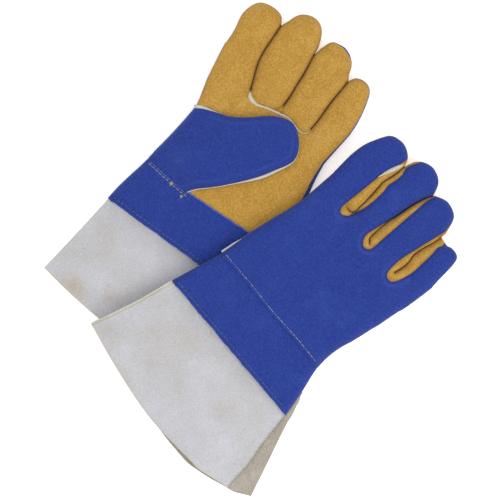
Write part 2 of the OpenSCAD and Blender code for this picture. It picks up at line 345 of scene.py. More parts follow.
RIGHT_GUSSETS = (        # the gold between two fingers on the back, down one finger and up the next
    ((-25.3, 192), (-26.1, 185), (-27.2, 181), (-29.2, 174), (-30.4, 160), (-30.9, 140), (-31.3, 119),
     (-30.3, 113), (-28, 110.4), (-24.8, 110.8), (-21, 114), (-18.6, 121), (-16.5, 131.4), (-16.1, 145),
     (-16.9, 155), (-18.4, 162), (-17.3, 172), (-17.5, 178), (-19.3, 184), (-19, 190), (-15, 200)),
    ((18.2, 192), (18.2, 189), (15, 182), (11.7, 167), (9.9, 150), (7.1, 138), (5.8, 130), (4.1, 119),
     (4.3, 114), (6, 110.1), (8.9, 107.3), (12.7, 106.8), (16, 109), (17.2, 113), (16.9, 125),
     (16.6, 150), (16.6, 167), (16.5, 176), (17.3, 184), (18.9, 189), (20, 193)),
    ((47.3, 190), (48.9, 183), (49.8, 174), (48.6, 167), (47.6, 159), (46.2, 151), (45.4, 144),
     (43.6, 134), (42.4, 123), (43.2, 112), (44.5, 107.5), (47, 105.3), (51, 104.8), (54, 107),
     (56.5, 112), (58, 118), (59.3, 127), (58.9, 138), (58.3, 151), (57, 159.5), (58.6, 165),
     (57.5, 169), (54.5, 173)),
)
SIDE_SHIFTS = {          # how far edges lie off their pattern: (from x, to x, ((y, shift), ...))
    "left": ((-99, -45, ((-50, -1.2), (-38, -1.5), (-22, -0.8), (-8, 0), (66, 0), (80, -1.5), (92, -2),
                         (105, -1.4), (118, -0.8), (135, 0))),
             (1, 13, ((186, 0), (191, -1.6), (193.5, -3.2), (195.5, -3))),
             (60, 99, ((20, 0), (40, 2), (55, 2.7), (66, 2.5), (78, 1.3), (90, 0.4), (100, 0)))),
    "right": ((-99, -45, ((105, 0), (115, 1), (128, 2.2), (145, 2.8), (165, 3), (178, 2.8),
                          (188, 1.5), (195, 0))),
              (46, 99, ((170.5, 0), (173, -2.4), (181, -2.2), (188, -0.8), (192, 0))),
              (60, 99, ((-52, 1.5), (5, 1.4), (25, 1.2), (40, 0.3), (50, -0.9), (62, -3), (75, -3.6),
                        (88, -3.2), (100, -2.2), (112, -0.9), (122, -0.5), (129, -0.6), (137, -0.3),
                        (150, 0)))),
}
WRIST_LINES = {          # the edge of the upper layer at the wrist seam
    "left": ((-90, 2), (-71, 1.5), (-45, -1.5), (-25, -3.5), (10, -2.2), (47, -0.5), (90, 0)),
    "right": ((-90, -0.5), (-71, -0.5), (-30, 0.2), (0, -0.3), (40, 0.3), (70, -0.5), (90, -0.5)),
}
TWO_FINGER_SEAM = ((-29.2, 109), (-25.5, 106.2), (-21, 104.3), (-15.5, 103.6), (-4.2, 106.8),
                   (9.8, 109.6), (17, 109.8), (28, 106.7), (33.3, 106.1), (37.2, 108.4), (38.3, 113))
INDEX_WELT = ((-30.4, 159), (-29.9, 166), (-28.8, 173.6), (-26.8, 180.5), (-24.4, 185.8))
PLEATS = (((4, 117.5), (2, 112.5), (-1, 108.5)), ((4, 117.5), (5, 112.5), (6.5, 109)))
SLIVERS = {              # where the back's leather shows round the edge: (from, to, widths on the way)
    "left": (((-32, 198), (-15, 200), ((0, 0.1), (0.5, 0.5), (1, 0.1))),
             ((6.9, 194), (31.5, 189), ((0, 0.1), (0.5, 1.8), (0.8, 1.5), (1, 0.1))),
             ((46, 182), (66.8, 48), ((0, 0.1), (0.08, 0.6), (0.3, 0.8), (0.5, 1.0), (0.68, 1.9),
                                      (0.84, 3.6), (1, 4.0)))),
    "right": (),
}


def wrist_line(glove, x):
    line = np.array(WRIST_LINES[glove.side])
    return np.interp(x, line[:, 0], line[:, 1])


class Plan:
    """A 2D triangulation of an outline, with lines that triangles don't cross.

    The border is a clockwise list of (path, is_seam), each path starting where the last one ends.
    """

    def __init__(self, border, lines=(), rings=RINGS, spacing=SPACING):
        self.seams = [path for path, is_seam in border if is_seam]
        ends = [path for path, is_seam in border if not is_seam]
        self.polygon = np.vstack([path[:-1] for path, _ in border])
        self.points, self.edges = [], []
        self.add(self.polygon, closed=True)
        for line in lines:
            self.add(line)
        fixed = list(lines)
        for distance in rings:
            for seam in self.seams:
                ring = resampled(offset(seam, distance), min(spacing, 1.4 + distance / 3))
                keep = inside(ring, self.polygon) & (self.seam_distance(ring) > 0.93 * distance)
                for path in ends:
                    keep &= distance_to(ring, path) > 0.75
                self.scatter(ring[keep], fixed, 0.75)
        low, high = self.polygon.min(0), self.polygon.max(0)
        xs, ys = np.arange(low[0], high[0], spacing), np.arange(low[1], high[1], spacing * 0.87)
        grid = np.array([(x + (row % 2) * spacing / 2, y) for row, y in enumerate(ys) for x in xs])
        edge = rings[-1] + 0.6 * spacing if rings else 0.7 * spacing
        keep = inside(grid, self.polygon)
        if self.seams:
            keep &= self.seam_distance(grid) > edge
        for path in ends:
            keep &= distance_to(grid, path) > 0.6 * spacing
        self.scatter(grid[keep], fixed, 0.7 * spacing)
        result = delaunay_2d_cdt([Vector(p) for p in self.points], self.edges, [], 1, 1e-4)
        self.xy = np.array([tuple(p) for p in result[0]])
        faces = np.array(result[2])
        a, b, c = (self.xy[faces[:, corner]] for corner in range(3))
        area = (b[:, 0] - a[:, 0]) * (c[:, 1] - a[:, 1]) - (c[:, 0] - a[:, 0]) * (b[:, 1] - a[:, 1])
        faces, area = faces[np.abs(area) > 1e-4], area[np.abs(area) > 1e-4]
        faces[area < 0] = faces[area < 0][:, ::-1]
        self.faces = faces
        self.centres = self.xy[faces].mean(1)
        self.edge = self.seam_distance(self.xy)

    def seam_distance(self, points):
        if not self.seams:
            return np.full(len(points), 1e3)
        return np.min([distance_to(points, seam) for seam in self.seams], axis=0)

    def add(self, path, closed=False):
        first = len(self.points)
        self.points.extend(map(tuple, path))
        count = len(path)
        self.edges.extend((first + i, first + i + 1) for i in range(count - 1))
        if closed:
            self.edges.append((first + count - 1, first))

    def scatter(self, points, fixed, clear):
        keep = np.ones(len(points), bool)
        for line in fixed:
            keep &= distance_to(points, line) > clear
        self.points.extend(map(tuple, points[keep]))


class Surface:
    """Points in the row frame, in mm, and faces with outward normals."""

    def __init__(self, points, faces):
        self.points, self.faces = points, faces
        p = points[faces]
        face_normal = np.cross(p[:, 1] - p[:, 0], p[:, 2] - p[:, 0])
        normals = np.zeros_like(points)
        for corner in range(3):
            np.add.at(normals, faces[:, corner], face_normal)
        self.normals = unit(normals)
        self.tone = np.zeros(len(points))

    def inset(self, distance):
        return Surface(self.points - distance * self.normals, self.faces)


def shell(plan, glove, top, bottom):
    """Upper and lower sheets of one plan, joined along its seams but not at its open ends.

    The upper sheet's faces come first. Inner rings keep both sheets apart at the open ends.
    """
    count = len(plan.xy)
    joined = plan.edge < 1e-3
    lower = np.where(joined, np.arange(count), np.arange(count) + count)
    points = np.vstack([glove.place(plan.xy, top), glove.place(plan.xy, bottom)])
    return Surface(points, np.vstack([plan.faces, lower[plan.faces[:, ::-1]]]))


def sheet(plan, glove, height, up):
    """One sheet whose outside looks up or down."""
    return Surface(glove.place(plan.xy, height), plan.faces if up else plan.faces[:, ::-1])


def build(name, points, faces, loop_normals, materials, indices, tone=None):
    mesh = bpy.data.meshes.new(name)
    mesh.from_pydata((np.asarray(points) * MM).tolist(), [], faces)
    mesh.polygons.foreach_set("use_smooth", [True] * len(faces))
    for material in materials:
        mesh.materials.append(material)
    mesh.polygons.foreach_set("material_index", indices)
    if tone is not None:
        layer = mesh.attributes.new("tone", "FLOAT", "POINT")
        layer.data.foreach_set("value", np.asarray(tone, np.float32))
    mesh.update()
    if loop_normals is not None:
        mesh.normals_split_custom_set([Vector(n) for n in loop_normals])
    obj = bpy.data.objects.new(name, mesh)
    bpy.context.scene.collection.objects.link(obj)
    return obj


def piece(name, surface, chosen, materials, thickness=LEATHER):
    """One closed piece from the chosen faces: outside, inside and the cut edge between them."""
    faces = surface.faces[chosen]
    used, flat = np.unique(faces, return_inverse=True)
    faces = flat.reshape(faces.shape)
    normals, count = surface.normals[used], len(used)
    points = np.vstack([surface.points[used], surface.points[used] - thickness * normals])
    a, b = open_edges(faces).T
    rim = np.stack([b, a, a + count, b + count], 1)
    corner = points[rim]
    rim_normal = unit(np.cross(corner[:, 2] - corner[:, 0], corner[:, 3] - corner[:, 1]))
    inner = faces[:, ::-1] + count
    loop_normals = np.vstack([
        normals[faces].reshape(-1, 3), -normals[faces[:, ::-1]].reshape(-1, 3),
        np.repeat(rim_normal, 4, axis=0)])
    indices = [0] * len(faces) + [1] * len(faces) + [2] * len(rim)
    tone = np.concatenate([surface.tone[used], np.zeros(count)])
    return build(name, points, faces.tolist() + inner.tolist() + rim.tolist(), loop_normals,
                 materials, indices, tone)


def strip(name, path, before, after, lay, material, thickness=1.0, dome=0.25, across=5):
    """A closed ribbon along a path, from before on its left to after on its right."""
    before, after = (np.broadcast_to(width, len(path)) for width in (before, after))
    top, bottom = [], []
    for share in np.linspace(0, 1, across):
        xy = offset(path, share * after - (1 - share) * before)
        rise = dome * (1 - (2 * share - 1) ** 2)
        top.append(lay(xy, rise))
        bottom.append(lay(xy, rise - thickness))
    return tubes(name, [np.stack(top + bottom[::-1], 1)], material)


def threads(name, paths, radius, material, sides=6):
    """Short lengths of thread, joined in one piece, each round with thinner ends."""
    made = []
    for path in paths:
        tangent = unit(np.gradient(path, axis=0))
        first = unit(np.cross(tangent, [0.0, 0.0, 1.0]) + 1e-6)
        second = np.cross(tangent, first)
        size = radius * np.sin(np.linspace(0.25, math.pi - 0.25, len(path))) ** 0.35
        turns = np.arange(sides) * 2 * math.pi / sides
        made.append(np.stack([path + size[:, None] * (math.cos(turn) * first + math.sin(turn) * second)
                              for turn in turns], 1))
    return tubes(name, made, material)


def tubes(name, all_rings, material):
    """Closed tubes joined in one piece, each an array of rings of points."""
    points, faces = [], []
    for rings in all_rings:
        count, around = rings.shape[:2]
        index = len(points) + np.arange(count * around).reshape(count, around)
        turned = np.roll(index, -1, axis=1)
        walls = np.stack([index[:-1], turned[:-1], turned[1:], index[1:]], 2).reshape(-1, 4)
        faces += walls.tolist() + [index[0, ::-1].tolist(), index[-1].tolist()]
        points += rings.reshape(-1, 3).tolist()
    obj = build(name, points, faces, None, [material], [0] * len(faces))
    shape = bmesh.new()
    shape.from_mesh(obj.data)
    bmesh.ops.recalc_face_normals(shape, faces=shape.faces)
    shape.to_mesh(obj.data)
    shape.free()
    return obj


HIGH_ABOVE = 60.0        # a height over everything, to look down from


def layer_on(glove, surfaces):
    """A function that puts plan points at a height above the highest of some surfaces."""
    points, faces = [], []
    for surface in surfaces:
        faces.extend((surface.faces + len(points)).tolist())
        points.extend(surface.points.tolist())
    tree = BVHTree.FromPolygons(points, faces)
    down = Vector(-glove.axes[2])

    def lay(xy, height=0.0):
        found = []
        for start in glove.to_row(np.column_stack([xy, np.full(len(xy), HIGH_ABOVE)])):
            hit = tree.ray_cast(Vector(start), down)[0]
            if hit is None:
                hit = tree.find_nearest(Vector(start))[0]
            found.append(hit)
        return np.array(found) + height * glove.axes[2]

    return lay


# ---------------------------------------------------------------- materials

class Cloth:
    """A material whose colour is built up from noises and other masks, each from 0 to 1."""

    def __init__(self, name):
        self.material = bpy.data.materials.new(name)
        self.material.use_nodes = True
        self.nodes, self.link = self.material.node_tree.nodes, self.material.node_tree.links.new
        self.coords = self.nodes.new("ShaderNodeTexCoord").outputs["Object"]

    def noise(self, scale, detail=3, rough=0.6, stretch=None):
        """Noise in space; stretch is the direction and the factor that it is squeezed by."""
        vector = self.coords
        if stretch:
            mapping = self.nodes.new("ShaderNodeMapping")
            mapping.inputs["Rotation"].default_value = (0, 0, stretch[0])
            mapping.inputs["Scale"].default_value = (1, stretch[1], 1)
            self.link(self.coords, mapping.inputs["Vector"])
            vector = mapping.outputs["Vector"]
        node = self.nodes.new("ShaderNodeTexNoise")
        node.inputs["Scale"].default_value = scale
        node.inputs["Detail"].default_value = detail
        node.inputs["Roughness"].default_value = rough
        self.link(vector, node.inputs["Vector"])
        return node.outputs["Fac"]

    def ramp(self, source, low, high, most=1.0):
        """0 where the source is at low, rising to most where it is at high."""
        node = self.nodes.new("ShaderNodeMapRange")
        for socket, value in (("From Min", low), ("From Max", high), ("To Max", most)):
            node.inputs[socket].default_value = value
        self.link(source, node.inputs["Value"])
        return node.outputs["Result"]

    def mix(self, base, colour, factor):
        """The base colour, turned into another by a mask."""
        node = self.nodes.new("ShaderNodeMix")
        node.data_type = "RGBA"
        for number, value in ((0, factor), (6, base), (7, colour)):
            socket = node.inputs[number]
            if isinstance(value, tuple):
                socket.default_value = (*value, 1)
            else:
                self.link(value, socket)
        return node.outputs[2]

    def times(self, a, b):
        node = self.nodes.new("ShaderNodeMath")
        node.operation = "MULTIPLY"
        self.link(a, node.inputs[0])
        self.link(b, node.inputs[1])
        return node.outputs[0]

    def nearness(self, centre, radius):
        """1 at a place, in metres, falling to 0 at a distance."""
        node = self.nodes.new("ShaderNodeVectorMath")
        node.operation = "DISTANCE"
        node.inputs[1].default_value = centre
        self.link(self.coords, node.inputs[0])
        return self.ramp(node.outputs["Value"], radius, 0.0)

    def tone(self, full):
        """The mesh's tone: paler rubbed wear and cut edges (full 1), or painted shade in seams and
        creases (full -1).
        """
        node = self.nodes.new("ShaderNodeAttribute")
        node.attribute_name = "tone"
        return self.ramp(node.outputs["Fac"], 0.0, full)

    def finish(self, colour, height, bump, distance, sheen):
        bsdf = self.nodes["Principled BSDF"]
        self.link(colour, bsdf.inputs["Base Color"])
        for socket, value in (("Roughness", 0.95), ("Specular IOR Level", 0.12),
                              ("Sheen Weight", sheen), ("Sheen Roughness", 0.6)):
            bsdf.inputs[socket].default_value = value
        node = self.nodes.new("ShaderNodeBump")
        node.inputs["Strength"].default_value = bump
        node.inputs["Distance"].default_value = distance
        self.link(height, node.inputs["Height"])
        self.link(node.outputs["Normal"], bsdf.inputs["Normal"])
        return self.material


def shade(colour, factor):
    """A darker or lighter version of a colour."""
    return tuple(min(factor * channel, 0.9) for channel in colour)


def suede(name, colour, dark, light, patchy, speckled, bump=0.6):
    """Split leather: a short nap with soft mottling, paler where rubbed, with painted shade in creases
    and seams.
    """
    cloth = Cloth(name)
    mix, ramp = cloth.mix, cloth.ramp
    grain, speckle = cloth.noise(1100, 4, 0.7), cloth.noise(620, 3, 0.75)
    patches, rubbed = cloth.noise(70, 5, 0.65), cloth.noise(24, 5, 0.7)
    scuffs = cloth.noise(30, 3, 0.6, (0.5, 9))
    base = colour
    for other, mask, low, high, most in (
            (dark, patches, 0.38, 0.68, patchy), (light, rubbed, 0.55, 0.8, 0.6),
            (light, scuffs, 0.66, 0.78, 0.35), (light, grain, 0.42, 0.72, speckled),
            (dark, grain, 0.46, 0.3, speckled), (light, speckle, 0.5, 0.72, speckled),
            (dark, speckle, 0.5, 0.3, speckled)):
        base = mix(base, other, ramp(mask, low, high, most))
    base = mix(base, light, cloth.times(cloth.tone(1.0), ramp(patches, 0.3, 0.6)))
    # painted shade: darker in creases, seams and fold lines, where the mesh's tone is negative
    base = mix(base, shade(dark, 0.55), cloth.tone(-1.0))
    return cloth.finish(base, grain, bump, 0.0005, 0.08)


BLOTCH = (0.42, 0.345, 0.245)
CUT_FIBRES = (0.50, 0.455, 0.35)


def split_hide(name, colour, stain_and_shade, blotches=()):
    """Undyed split leather: pale, fine-grained, with faint stains, a few brown blotches, and painted
    shade where the mesh's tone is negative.
    """
    cloth = Cloth(name)
    mix, ramp = cloth.mix, cloth.ramp
    grain, cloud = cloth.noise(1000, 4, 0.7), cloth.noise(26, 5, 0.6)
    pores, fleck = cloth.noise(780, 3, 0.8), cloth.noise(90, 4, 0.7)
    base = colour
    for other, mask, low, high, most in (
            (stain_and_shade, cloud, 0.42, 0.72, 0.65), (shade(colour, 1.12), cloud, 0.48, 0.3, 0.5),
            (shade(colour, 0.75), grain, 0.5, 0.32, 0.5), (shade(colour, 1.2), grain, 0.52, 0.7, 0.5),
            (shade(stain_and_shade, 0.8), pores, 0.5, 0.3, 0.6), (shade(colour, 1.25), pores, 0.52, 0.72, 0.4)):
        base = mix(base, other, ramp(mask, low, high, most))
    for centre, radius, strength in blotches:
        spot = cloth.times(cloth.nearness(centre, radius), ramp(fleck, 0.3, 0.6, strength))
        base = mix(base, BLOTCH, spot)
    base = mix(base, CUT_FIBRES, cloth.tone(1.0))
    # painted shade: darkens where the mesh's tone is negative
    base = mix(base, shade(stain_and_shade, 0.45), cloth.tone(-1.0))
    return cloth.finish(base, grain, 0.5, 0.0005, 0.1)


def rough_flesh(name, colour, dark):
    """The hairy inner face of split leather."""
    cloth = Cloth(name)
    fibres, cloud = cloth.noise(500, 5, 0.75, (0.7, 2.5)), cloth.noise(60, 4)
    base = cloth.mix(dark, colour, cloth.ramp(fibres, 0.35, 0.65))
    base = cloth.mix(base, shade(colour, 1.2), cloth.ramp(cloud, 0.5, 0.75, 0.5))
    return cloth.finish(base, fibres, 0.9, 0.0012, 0.1)


def cotton(name, colour):
    """Knitted fleece: rows of small loops."""
    cloth = Cloth(name)
    fluff = cloth.noise(700, 4, 0.8)
    wave = cloth.nodes.new("ShaderNodeTexWave")
    wave.inputs["Scale"].default_value = 180
    wave.inputs["Distortion"].default_value = 3.0
    cloth.link(cloth.coords, wave.inputs["Vector"])
    base = cloth.mix(shade(colour, 0.8), colour, cloth.ramp(fluff, 0.3, 0.7))
    base = cloth.mix(base, shade(colour, 0.6), cloth.ramp(wave.outputs["Fac"], 0.2, 0.8, 0.25))
    return cloth.finish(base, fluff, 0.8, 0.0008, 0.3)


def twisted(name, colour):
    """Waxed sewing thread with a fine twist."""
    cloth = Cloth(name)
    twist = cloth.noise(2200, 2, 0.5, (0.9, 0.3))
    base = cloth.mix(shade(colour, 0.7), colour, cloth.ramp(twist, 0.35, 0.65))
    return cloth.finish(base, twist, 0.4, 0.0002, 0.0)


BLUE = suede(
    "blue_suede", (0.015, 0.037, 0.247), (0.009, 0.025, 0.187), (0.041, 0.077, 0.34), 0.6, 0.65)
BLUE_RAW = suede(
    "blue_cut_edge", (0.050, 0.105, 0.42), (0.03, 0.06, 0.30), (0.17, 0.25, 0.56), 0.6, 0.6)
GOLD = suede(
    "gold_suede", (0.485, 0.268, 0.038), (0.33, 0.150, 0.012), (0.60, 0.385, 0.11), 0.6, 0.75, 0.9)
GOLD_RAW = suede(
    "gold_cut_edge", (0.50, 0.30, 0.07), (0.36, 0.19, 0.03), (0.66, 0.46, 0.18), 0.6, 0.5)
HIDE = split_hide("cuff_split_leather", (0.515, 0.515, 0.555), (0.43, 0.40, 0.35), (
    ((-0.0822, -0.1588, 0.010), 0.017, 0.9), ((-0.0518, -0.1377, 0.010), 0.013, 0.5),
    ((-0.0320, -0.1640, 0.010), 0.016, 0.5), ((0.1035, -0.1780, 0.010), 0.014, 0.6),
    ((0.0380, -0.1780, 0.010), 0.020, 0.35), ((0.0000, -0.1770, 0.010), 0.022, 0.35),
    ((0.0990, -0.1300, 0.010), 0.020, 0.25)))
FLESH = rough_flesh("rough_inner_leather", (0.50, 0.455, 0.385), (0.33, 0.29, 0.225))
WELT = split_hide("welt_leather", (0.60, 0.585, 0.52), (0.48, 0.44, 0.33))
COTTON = cotton("cotton_fleece", (0.72, 0.68, 0.58))
YELLOW_THREAD = twisted("yellow_thread", (0.60, 0.57, 0.26))
FADED_THREAD = twisted("faded_thread", (0.26, 0.28, 0.36))
DULL_THREAD = twisted("dull_thread", (0.19, 0.20, 0.19))

# outside, inside and cut edge of a sheet
BLUE_SET = [BLUE, BLUE, BLUE_RAW]
GOLD_SET = [GOLD, GOLD, GOLD_RAW]
HIDE_SET = [HIDE, FLESH, WELT]
COTTON_SET = [COTTON, COTTON, COTTON]


# ---------------------------------------------------------------- hand and fingers

def upper_height(glove, xy, edge):
    """Height of the upper surface of hand and band, at a distance from the side seam."""
    soft = rounded(edge, 8) * (0.6 * wobble(xy, 38, glove.seed) + 0.25 * wobble(xy, 14, 7.7))
    full = DEPTH - EQUATOR - 0.6
    return EQUATOR + 0.88 * full * rounded(edge, 11) + 0.12 * full * rounded(edge, 24, 2.0) + soft


def lower_height(edge):
    return EQUATOR * (1 - rounded(edge, 8))


def bell(distance, width):
    """1 at no distance, falling softly to 0 beyond the width."""
    return np.exp(-(distance / width) ** 2)


def groove(xy, path, depth, width):
    return depth * bell(distance_to(xy, path), width)


FOLD_DEPTH = 1.3         # of the folds round the fingers' gold strips, which stand out as far
BEYOND_TIPS = 300.0
TIP_SPREAD, TIP_REACH = 2.4, 18.0      # the left strips widen this much this near to the fingertips


def gusset(glove, number):
    """The outline of the gold between two fingers on the back: down one finger and up the next."""
    if not glove.left:
        return resampled(RIGHT_GUSSETS[number], 1.6)
    first = glove.finger(FINGERS[number], "back")
    second = glove.finger(FINGERS[number + 1], "back")
    down = first[int(np.argmax(first[:, 1])):]
    up = second[:int(np.argmax(second[:, 1])) + 1]
    from_tips = length_along(down), length_along(up[::-1])[::-1]
    down, up = (offset(path, -TIP_SPREAD * smoothstep(TIP_REACH, 0, away))
                for path, away in zip((down, up), from_tips))
    down, up = down[down[:, 1] > KNUCKLE_Y + 6], up[up[:, 1] > KNUCKLE_Y + 6]
    x, y = glove.creases[number][0]
    half = 0.5 * (up[0, 0] - down[-1, 0])
    turn = np.array([(x - 0.55 * half, y + 1), (x, y - 2.0), (x + 0.55 * half, y + 1)])
    return resampled(np.vstack([down, turn, up]), 1.6)


def hand_plan(glove):
    """Hand and fingers above the wrist line, with the lines that pieces and folds meet on."""
    drop = 3.0 if glove.left else 0.0
    start = int(np.argmax(glove.edge[:, 1] > wrist_line(glove, WRIST[-1]) + 0.3))
    stop = len(glove.edge) - int(np.argmax(glove.edge[::-1, 1] > wrist_line(glove, WRIST[1]) + 0.3))
    edge = glove.edge[start:stop]
    xs = np.linspace(edge[-1, 0], edge[0, 0], 60)
    ys = wrist_line(glove, xs) - drop * smoothstep(0, 5, from_ends(xs))
    ys += smoothstep(0, 4, from_ends(xs)) * 0.25 * wobble(np.column_stack([xs, ys]), 7, 2.2)
    ys[0], ys[-1] = edge[-1, 1], edge[0, 1]
    closing = np.column_stack([xs, ys])
    gussets = [gusset(glove, number) for number in range(3)]
    borders = []
    for line in gussets:
        clear = distance_to(line, edge) > 0.6
        for run in np.split(np.arange(len(line)), np.nonzero(~clear)[0]):
            run = run[clear[run]]
            if len(run) > 2:
                borders.append(line[run])
    inner = np.vstack([edge, closing[1:-1]])
    knuckles = resampled([(edge[:, 0].min() - 5, KNUCKLE_Y), (edge[:, 0].max() + 5, KNUCKLE_Y)], 2.0)
    knuckles = knuckles[inside(knuckles, inner) & (distance_to(knuckles, edge) > 0.5)]
    two = resampled(TWO_FINGER_SEAM, 1.6)
    for line in glove.creases:
        x, y = line[0]
        if y > KNUCKLE_Y + 2:
            borders.append(resampled([(x, y - 0.7), (x, KNUCKLE_Y + 0.8)], 1.6))
    slivers = [sliver(glove, *ends_and_widths) for ends_and_widths in SLIVERS[glove.side]]
    borders += [two] + [line for _, line in slivers]
    lines = [line[np.abs(line[:, 1] - KNUCKLE_Y) > 0.7] for line in borders]
    plan = Plan([(edge, True), (closing, False)], lines + [knuckles])
    plan.gussets, plan.two, plan.slivers = gussets, two, [strip for strip, _ in slivers]
    return plan


def sliver(glove, start, stop, widths):
    """A strip inside the glove's edge, and its inner line."""
    first, last = (int(np.argmin(np.linalg.norm(glove.edge - spot, axis=1))) for spot in (start, stop))
    path = glove.edge[first:last + 1]
    line = offset(path, tapered(path, widths))
    return np.vstack([path, line[::-1]]), line


def finger_regions(glove, plan):
    """The finger that each face belongs to, or -1 for the hand."""
    x, y = plan.centres.T
    number = sum((x > np.interp(y, line[:, 1], line[:, 0])).astype(int) for line in glove.creases)
    return np.where(y > KNUCKLE_Y, number, -1)


def attach(obj, glove, member, slot, *nodes):
    """Rides a piece on the hand; a finger's or thumb's piece only gets its transform baked in, and no
    bend is made.
    """
    hand = f"{glove.side}_hand"
    if member == "hand":
        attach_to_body(obj, hand)
    else:
        if member == "thumb":
            start_xy = glove.thumb_hinge
            end_xy = start_xy + THUMB_BEND * glove.thumb_out
        else:
            start_xy, end_xy = (0, KNUCKLE_Y), (0, KNUCKLE_Y + BEND_LENGTH)
        start, end = (glove.to_row([[*xy, 0]])[0] * MM for xy in (start_xy, end_xy))
        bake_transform(obj)
        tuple(start)
        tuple(end)
    if nodes:
        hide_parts(*[f"{glove.side}_{node}" for node in nodes])
    return obj


def leather(glove, node, surface, chosen, materials, member, slot, replaced=True):
    """A piece of leather on the outside, which stands for the CAD node of that name."""
    kind = "hide" if slot == "cuff_leather" else "suede"
    thickness = CUFF_LEATHER if slot == "cuff_leather" else LEATHER
    made = piece(f"{glove.side}_{node}_{kind}", surface, chosen, materials, thickness)
    attach(made, glove, member, slot, *([node] if replaced else []))


def lining(glove, label, surface, chosen, member, inset=LINING_INSET, replaced=True):
    """The cotton inside some leather."""
    name = f"{glove.side}_{label}_lining_cotton"
    made = piece(name, surface.inset(inset), chosen, COTTON_SET, LINING_T)
    attach(made, glove, member, "lining", *([f"{label}_lining"] if replaced else []))


def on_palm_side(glove, plan):
    """Which faces of a shell look the way that the palm does."""
    upper = np.arange(2 * len(plan.faces)) < len(plan.faces)
    return upper if glove.left else ~upper


def build_hand(glove):
    plan = hand_plan(glove)
    xy, edge = plan.xy, plan.edge
    two_area = np.vstack([plan.two, [(60, BEYOND_TIPS), (-60, BEYOND_TIPS)]])
    in_two = inside(xy, two_area) & (xy[:, 1] < KNUCKLE_Y + 40)
    fold_gaps = [distance_to(xy, line) for line in plan.gussets]
    back_folds = sum(FOLD_DEPTH * bell(gap, 1.3) for gap in fold_gaps)
    back_folds -= sum(np.where(inside(xy, line), FOLD_DEPTH * rounded(gap, 4.0), 0)
                      for line, gap in zip(plan.gussets, fold_gaps))
    fold_gap = np.min(fold_gaps, 0)
    seam_gap = distance_to(xy, plan.two)
    front_folds = 1.1 * bell(seam_gap, 1.0) - np.where(in_two, 0.9 * smoothstep(0, 3, seam_gap), 0)
    if glove.left:
        front_folds += sum(groove(xy, resampled(line, 1.0), 1.3, 1.1) for line in PLEATS)
    above_line = xy[:, 1] - wrist_line(glove, xy[:, 0])
    cover = BAND_OVER[glove.side] + (1.0 if glove.left else 0.5)
    tucked = 1.6 * (1 - smoothstep(cover, cover + 6, above_line)) * rounded(edge, 6)
    upper, lower = upper_height(glove, xy, edge), lower_height(edge)
    relief = rounded(edge, 3)
    palm_shift = tucked + front_folds * relief
    back_shift = back_folds * relief
    if glove.left:
        upper, lower = upper - palm_shift, np.maximum(lower + 0.6 * back_shift, 0)
    else:
        upper, lower = upper - back_shift, lower + palm_shift
    surface = shell(plan, glove, upper, lower)
    # Tone: rubbed wear pales the back near the gold strips' round ends; painted shade darkens the fold
    # lines round the strips, the two-finger seam, the sheet's edges and the slits between fingers, and
    # the pleats.
    rubbed = 0.6 * bell(fold_gap - 4.0, 1.6) * (xy[:, 1] < KNUCKLE_Y + 8)
    back_wear_and_shade = rubbed - 0.5 * bell(fold_gap, 0.9)
    palm_painted_shade = -0.45 * bell(seam_gap, 0.8) - 0.35 * bell(edge, 1.5)
    if glove.left:
        for line in PLEATS:
            palm_painted_shade -= groove(xy, resampled(line, 1.0), 0.6, 0.7)
    tones = (palm_painted_shade, back_wear_and_shade) if glove.left else (back_wear_and_shade, palm_painted_shade)
    surface.tone = np.concatenate(tones)
    count = len(plan.faces)
    region = finger_regions(glove, plan)
    gold_back = np.zeros(count, bool)
    for line in plan.gussets:
        gold_back |= inside(plan.centres, line)
    gold_palm = np.ones(count, bool)
    for outline in plan.slivers:
        gold_palm &= ~inside(plan.centres, outline)
    in_two = inside(plan.centres, two_area)
    nothing = np.zeros(count, bool)

    def choose(palm, back):
        return np.concatenate([palm, back] if glove.left else [back, palm])

    hand = region == -1
    for node, materials, chosen in (
            ("back_panel", BLUE_SET, choose(hand & ~gold_palm, hand & ~gold_back)),
            ("palm_panel", GOLD_SET, choose(hand & gold_palm & ~in_two, nothing)),
            ("two_finger_root", GOLD_SET, choose(hand & gold_palm & in_two, nothing)),
            ("fourchette_ends", GOLD_SET, choose(nothing, hand & gold_back))):
        slot = "blue_leather" if materials is BLUE_SET else "gold_leather"
        leather(glove, node, surface, chosen, materials, "hand", slot, node.endswith("panel"))
    lining(glove, "hand", surface, choose(hand, hand), "hand")
    for number, name in enumerate(FINGERS):
        here = region == number
        between = f"{name}_fourchette" + ("s" if name in ("middle", "ring") else "")
        leather(glove, f"{name}_back", surface, choose(here & ~gold_palm, here & ~gold_back), BLUE_SET,
                name, "blue_leather")
        leather(glove, f"{name}_front", surface, choose(here & gold_palm, nothing), GOLD_SET,
                name, "gold_leather")
        leather(glove, between, surface, choose(nothing, here & gold_back), GOLD_SET,
                name, "gold_leather")
        lining(glove, name, surface, choose(here, here), name)
    return surface


# ---------------------------------------------------------------- wristband

